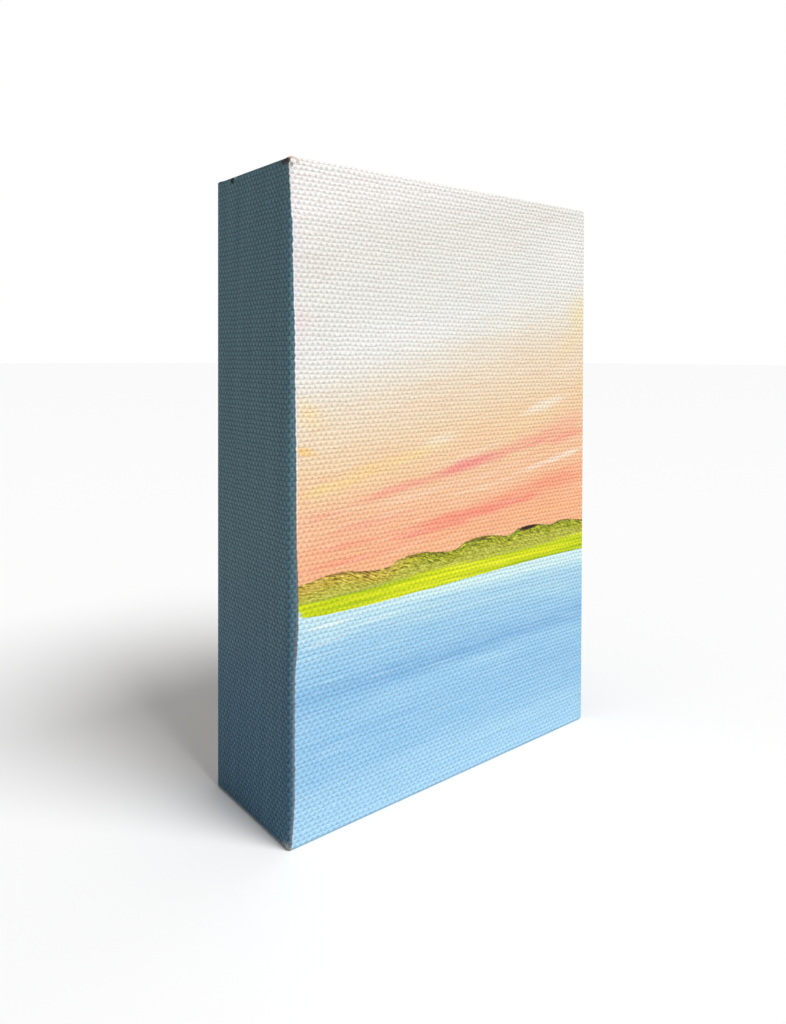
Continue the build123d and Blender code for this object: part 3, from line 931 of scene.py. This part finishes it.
def addCloth(name, place, outward, sheetPlace, thickness=cloth["thickness"]):
    piece = clothMesh(name, place, outward, sheetPlace, [paintedCloth, rawCloth], thickness)
    return piece


faceSheetOptions = {
    "steps": (150, 226),
    "hollow": 0.35 * mm,          # how far the middle of the face sinks
    "lip": 2.6 * mm,              # from the rim to where it leaves the raised bead
    "unevenness": 0.03 * mm,
    "beadSink": 0.06 * mm,        # how far it gives over the bead
}


def makeFaceSheet():
    # y = face + hollow * s(dx) * s(dz), where s eases from 0 at the bead to 1 far from it, plus a
    # slight unevenness that dies out at the rim
    o = faceSheetOptions
    half = (faceWidth / 2 - cloth["edgeRadius"], middle - cloth["edgeRadius"])
    x = np.linspace(-half[0], half[0], o["steps"][0] + 1)[None, :]
    z = np.linspace(-half[1], half[1], o["steps"][1] + 1)[:, None]
    fromSide, fromEnd = half[0] - np.abs(x), half[1] - np.abs(z)
    sunk = smooth(fromSide, o["lip"], 30 * mm) * smooth(fromEnd, o["lip"], 34 * mm)
    rim = smooth(fromSide, 0, 8 * mm) * smooth(fromEnd, 0, 8 * mm)
    ripple = wander(x * 130, 3) * wander(z * 110, 4) * rim * o["unevenness"]
    bead = smooth(fromSide, 0, o["lip"]) * smooth(fromEnd, 0, o["lip"]) * o["beadSink"]
    y = faceDepth + o["hollow"] * sunk + bead + ripple
    place = np.stack([x + 0 * y, y, z + middle + 0 * y], -1)
    sheetPlace = np.stack([x + 0 * y, z + middle + 0 * y], -1)
    outward = np.broadcast_to([0.0, -1.0, 0.0], place.shape)
    piece = addCloth("faceSheet", place, outward, sheetPlace)
    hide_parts("canvas")
    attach(piece, "canvas")


sideSheetOptions = {
    "steps": 210,
    "endRadius": 0.55 * mm,       # where its ends turn under the flaps
    "hemEndRadius": 0.05 * mm,
    "flapStep": 0.45 * mm,        # it lies this far under the flaps
    "tuckDrop": 0.5 * mm,         # the tucked part lies lower still
    "firstTuck": 2.2 * mm,        # how much is tucked in right behind the face
    "tuckLength": 9 * mm,         # and at most
    "hemShort": 0.45 * mm,        # the hem stops this far from the top and bottom
    "edgeWander": 0.3 * mm,       # how uneven the hem's cut edge is
    "bow": 0.08 * mm,             # how far the cloth on the edge bows in and out
    "staples": 4,
    "stapleDent": 0.22 * mm,
}


stapleCrown = 10 * mm


def stapleMiddles(node, count, axis):
    # the staples of a row are evenly spaced, and the row's box ends at the outer crowns
    low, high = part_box(node)
    line = (low[2 - axis] + high[2 - axis]) / 2
    return np.linspace(low[axis] + stapleCrown / 2, high[axis] - stapleCrown / 2, count), line


def stapleDents(along, across, middles, line, deep):
    # a shallow trough under each crown, deepest at its two ends
    total = 0 * (along + across)
    for centre in middles:
        away = np.maximum(np.abs(along - centre) - 4.6 * mm, 0)
        total = total + np.exp(-((across - line) ** 2 + away**2) / (1.3 * mm) ** 2)
    return deep * total


def makeSideSheet(edge, side):
    # Along the bar the profile is carried straight. At each end it turns inwards through a quarter
    # circle of endRadius and runs on as the tuck, under the flap.
    o = sideSheetOptions
    inward, depth, outNormal, backNormal, length = (a[:, None] for a in wrapProfile())
    frontEnd = profileSteps["front"]
    backStart = frontEnd + profileSteps["edge"]
    arcEnd, rimStart = length[frontEnd, 0], length[backStart, 0]
    onEdge = smooth(length, arcEnd, arcEnd + 3 * mm)
    onHem = smooth(length, rimStart - 1.5 * mm, rimStart + 0.6 * mm)
    radius = cloth["edgeRadius"] * (1 - onEdge) + o["endRadius"] * onEdge
    radius = radius * (1 - onHem) + o["hemEndRadius"] * onHem
    half = middle - o["flapStep"] * onEdge - (o["hemShort"] - o["flapStep"]) * onHem
    tuck = o["firstTuck"] * smooth(length, arcEnd, arcEnd + 0.8 * mm) + np.maximum(length - arcEnd, 0)
    tuck = np.minimum(tuck, o["tuckLength"]) * (1 - onHem)
    share = np.linspace(-1, 1, o["steps"] + 1)[None, :]
    turn = np.linspace(0, math.pi / 2, 7)[None, 1:]
    strip = np.linspace(0, 1, 9)[None, 1:]
    reach = [share * (half - radius), half - radius + radius * np.sin(turn),
             half - o["tuckDrop"] * smooth(tuck * strip, 0, 1.0 * mm)]
    pull = [0 * reach[0], radius * (1 - np.cos(turn)), radius + tuck * strip]
    roll = [reach[0], half - radius + radius * turn,
            half - radius + radius * math.pi / 2 + tuck * strip]
    up, back, v = mirrored(*reach), mirrored(*pull, sign=1), mirrored(*roll)
    hemShare = smooth(inward, cloth["backRadius"], hemWidth)
    cut = o["edgeWander"] * wander(up * 90, 11 if side < 0 else 12, 9) * hemShare
    bow = o["bow"] * wander(up * 60, 5 if side < 0 else 6) * smooth(length, arcEnd, arcEnd + 10 * mm)
    bow = bow * (1 - smooth(length, rimStart - 8 * mm, rimStart))
    out = faceWidth / 2 - inward - cut - bow * outNormal - back * outNormal
    middles, line = stapleMiddles(edge + "_staples", o["staples"], 2)
    dents = stapleDents(up + middle, side * out, middles, line, o["stapleDent"])
    dents = dents * (backNormal > 0.99)
    y = depth - back * backNormal - dents
    place = np.stack([side * out, y, up + middle], -1)
    u = side * (faceWidth / 2 - cloth["edgeRadius"] + length) + 0 * v
    tilt = mirrored(0 * reach[0], turn + 0 * radius, math.pi / 2 + 0 * reach[2])
    outward = np.stack([side * outNormal * np.cos(tilt), backNormal * np.cos(tilt), np.sin(tilt)], -1)
    sheetPlace = np.stack([u, v + middle], -1)
    piece = addCloth(edge + "Sheet", place, outward, sheetPlace)
    finishWrap(piece, edge)


flapSheetOptions = {
    "steps": 150,
    "inset": 0.8 * mm,            # from the side to the flap's folded end
    "hemPastFlap": 0.35 * mm,     # its hem is wider than the flap by this at each end
    "foldRadius": 0.34 * mm,
    "hemFoldRadius": 0.22 * mm,
    "leastFold": 0.02 * mm,       # at the face, where the fold dies out
    "tuckLength": 9 * mm,
    "sag": 0.3 * mm,              # it is lower where nothing is tucked under it
    "staples": 3,
    "stapleDent": 0.22 * mm,
    "edgeWander": 0.3 * mm,
    "riser": (35.2 * mm, 36.5 * mm),    # from the middle, where the hem steps onto the side's hem
}


def makeFlapSheet(edge, side):
    # The profile is carried across, and each end folds back under itself through a half circle.
    # Past the riser the hem lies over the side's hem.
    o = flapSheetOptions
    inward, depth, outNormal, backNormal, length = (a[:, None] for a in wrapProfile())
    frontEnd = profileSteps["front"]
    backStart = frontEnd + profileSteps["edge"]
    arcEnd, rimStart = length[frontEnd, 0], length[backStart, 0]
    onEdge = smooth(length, arcEnd, arcEnd + 2.5 * mm)
    onHem = smooth(length, rimStart - 1.5 * mm, rimStart + 0.6 * mm)
    half = faceWidth / 2 - cloth["edgeRadius"] + (cloth["edgeRadius"] - o["inset"]) * onEdge
    half = half + o["hemPastFlap"] * onHem
    radius = o["foldRadius"] * (1 - onHem) + o["hemFoldRadius"] * onHem
    radius = o["leastFold"] * (1 - onEdge) + radius * onEdge
    tuck = np.minimum(0.05 * mm + np.maximum(length - arcEnd, 0), o["tuckLength"])
    tuck = tuck * (1 - onHem) + o["leastFold"]
    share = np.linspace(-1, 1, o["steps"] + 1)[None, :]
    turn = np.linspace(0, math.pi, 9)[None, 1:]
    strip = np.linspace(0, 1, 7)[None, 1:]
    reach = [share * (half - radius), half - radius + radius * np.sin(turn),
             half - radius - tuck * strip]
    pull = [0 * reach[0], radius * (1 - np.cos(turn)), 2 * radius + 0 * reach[2]]
    roll = [reach[0], half - radius + radius * turn, half - radius + radius * math.pi + tuck * strip]
    along, back, u = mirrored(*reach), mirrored(*pull, sign=1), mirrored(*roll)
    hemShare = smooth(inward, cloth["backRadius"], hemWidth)
    cut = o["edgeWander"] * wander(along * 100, 21 if side < 0 else 22, 9) * hemShare
    sag = o["sag"] * (1 - smooth(np.abs(along), 12 * mm, 34 * mm)) * onEdge * outNormal
    out = middle - inward - cut - sag - back * outNormal
    lift = lapLift * smooth(np.abs(along), *o["riser"]) * onHem
    middles, line = stapleMiddles(edge + "_staples", o["staples"], 0)
    dents = stapleDents(along, middle + side * out, middles, line, o["stapleDent"])
    dents = dents * (backNormal > 0.99)
    y = depth + lift - back * backNormal - dents
    place = np.stack([along, y, middle + side * out], -1)
    v = middle + side * (middle - cloth["edgeRadius"] + length) + 0 * u
    tilt = mirrored(0 * reach[0], turn + 0 * radius, math.pi + 0 * reach[2])
    outward = np.stack([np.sin(tilt), backNormal * np.cos(tilt), side * outNormal * np.cos(tilt)], -1)
    wall = np.where(tilt == 0, cloth["thickness"], np.minimum(cloth["thickness"], 0.95 * radius))
    sheetPlace = np.stack([u, v], -1)
    piece = addCloth(edge + "Sheet", place, outward, sheetPlace, wall)
    finishWrap(piece, edge)


def finishWrap(piece, edge):
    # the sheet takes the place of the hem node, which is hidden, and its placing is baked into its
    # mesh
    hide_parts(edge + "_hem")
    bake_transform(piece)


makeFaceSheet()
makeSideSheet("left", -1)
makeSideSheet("right", 1)
makeFlapSheet("top", 1)
makeFlapSheet("bottom", -1)
print("cloth made")


def setMaterial(node, material):
    mesh = frame["nodes"][node].data
    mesh.materials.clear()
    mesh.materials.append(material)


for bar in woods:
    keyWood = keyWoods["level" if bar in ("top", "bottom") else "upright"]
    setMaterial(bar + "_bar", woods[bar])
    setMaterial(bar + "_staples", stapleWire)
    for key in (node for node in frame["nodes"] if node.startswith(bar + "_key_")):
        setMaterial(key, keyWood)
print("wood and staples finished")


room = {
    "floorHalf": 12.0,
    "floorColour": (0.94, 0.94, 0.94, 1),
    "skyStrength": 0.36,
    "sunStrength": 2.68,
    "sunFrom": (0.2, -0.66, 0.95),
    "sunAngle": 30,               # degrees across, which makes its shadows soft
}
camera = {
    "place": (-140.1 * mm, -167.04 * mm, 108.7 * mm),
    "turn": (math.pi / 2 - 0.014, -0.0033, -0.6939),
    "lens": 27.85,
    "sensorWidth": 36,
    "shift": (-0.0196, -0.1406),
}


def makeFloor():
    half = room["floorHalf"]
    corners = [(-half, -half, 0), (half, -half, 0), (half, half, 0), (-half, half, 0)]
    mesh = bpy.data.meshes.new("floor")
    mesh.from_pydata(corners, [], [(0, 1, 2, 3)])
    material, _, shader = newMaterial("paleFloor", roughness=0.9, specular=0.2)
    shader.inputs["Base Color"].default_value = room["floorColour"]
    mesh.materials.append(material)
    floor = bpy.data.objects.new("floor", mesh)
    scene.collection.objects.link(floor)


def makeWorld():
    # white behind the object, and a lower, even light on it
    world = bpy.data.worlds.new("studio")
    scene.world = world
    world.use_nodes = True
    tree = world.node_tree
    sky = tree.nodes["Background"]
    sky.inputs["Color"].default_value = (1.0, 1.0, 1.0, 1)
    path = put(tree, "LightPath")
    strength = timesPlus(tree, path.outputs["Is Camera Ray"], 1.0 - room["skyStrength"],
                     room["skyStrength"])
    feed(tree, sky.inputs["Strength"], strength)


def makeSun():
    light = bpy.data.lights.new("softSun", "SUN")
    light.energy = room["sunStrength"]
    light.angle = math.radians(room["sunAngle"])
    lamp = bpy.data.objects.new("softSun", light)
    scene.collection.objects.link(lamp)
    lamp.rotation_euler = Vector(room["sunFrom"]).to_track_quat("Z", "Y").to_euler()


def makeCamera():
    body = bpy.data.cameras.new("camera")
    body.lens = camera["lens"]
    body.sensor_width = camera["sensorWidth"]
    body.sensor_fit = "AUTO"
    body.shift_x, body.shift_y = camera["shift"]
    body.clip_start = 0.01
    holder = bpy.data.objects.new("camera", body)
    scene.collection.objects.link(holder)
    holder.location = camera["place"]
    holder.rotation_euler = camera["turn"]
    scene.camera = holder


makeFloor()
makeWorld()
makeSun()
makeCamera()
scene.view_settings.view_transform = "Standard"
print("stage set")
